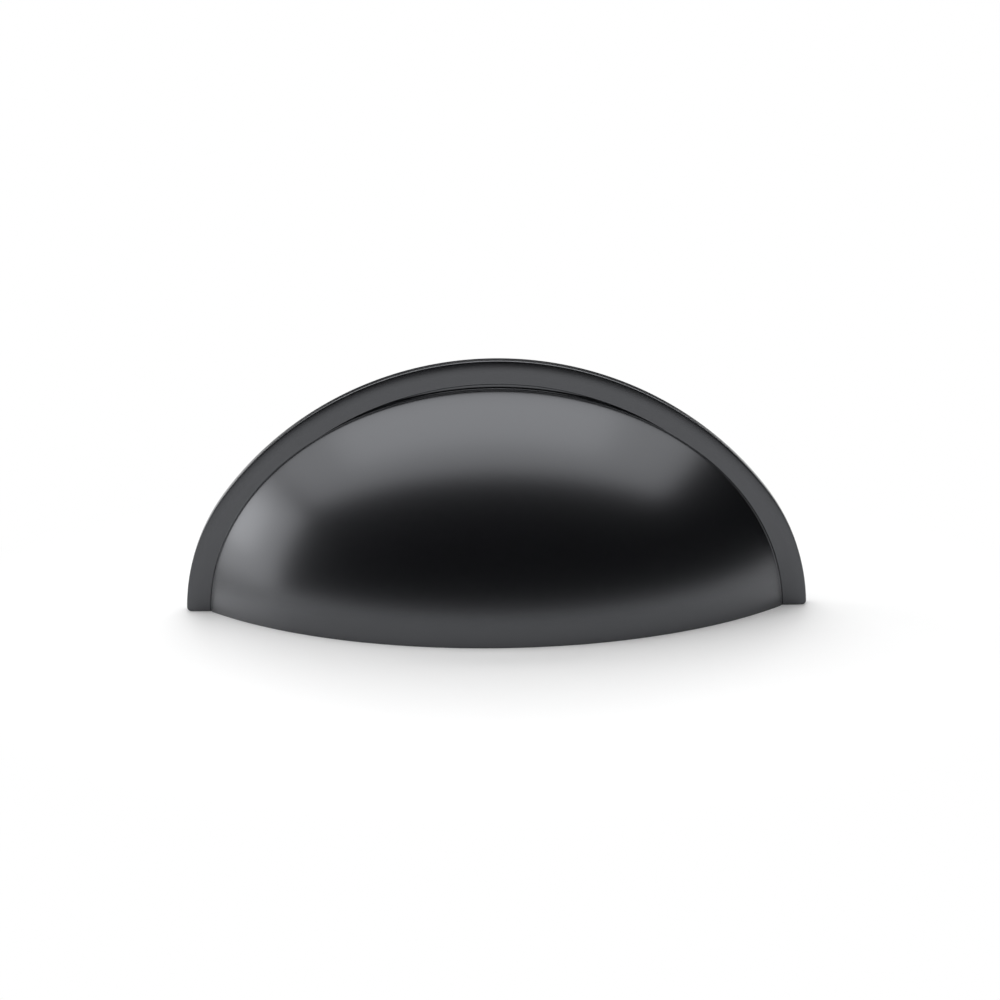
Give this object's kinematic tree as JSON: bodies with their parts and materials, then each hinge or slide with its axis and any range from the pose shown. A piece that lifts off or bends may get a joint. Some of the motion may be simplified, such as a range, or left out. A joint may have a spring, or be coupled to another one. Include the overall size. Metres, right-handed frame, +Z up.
{
  "type": "cup pull",
  "caption": "Hollow quarter-dome cup pull cast in one piece with an arched flange, open below and at the back, for drawers.",
  "frame": {"origin": "middle of the footprint, on the lower edge that the pull stands on", "axes": "+Z up the drawer front, -Y out of the drawer front to the user, +Y into the drawer front, +X to the right"},
  "size_m": [0.104, 0.025, 0.0426],
  "materials": {
    "powder_coat": "satin black powder coat"
  },
  "bodies": {
    "root": {"cup_pull": "powder_coat"}
  },
  "joints": []
}
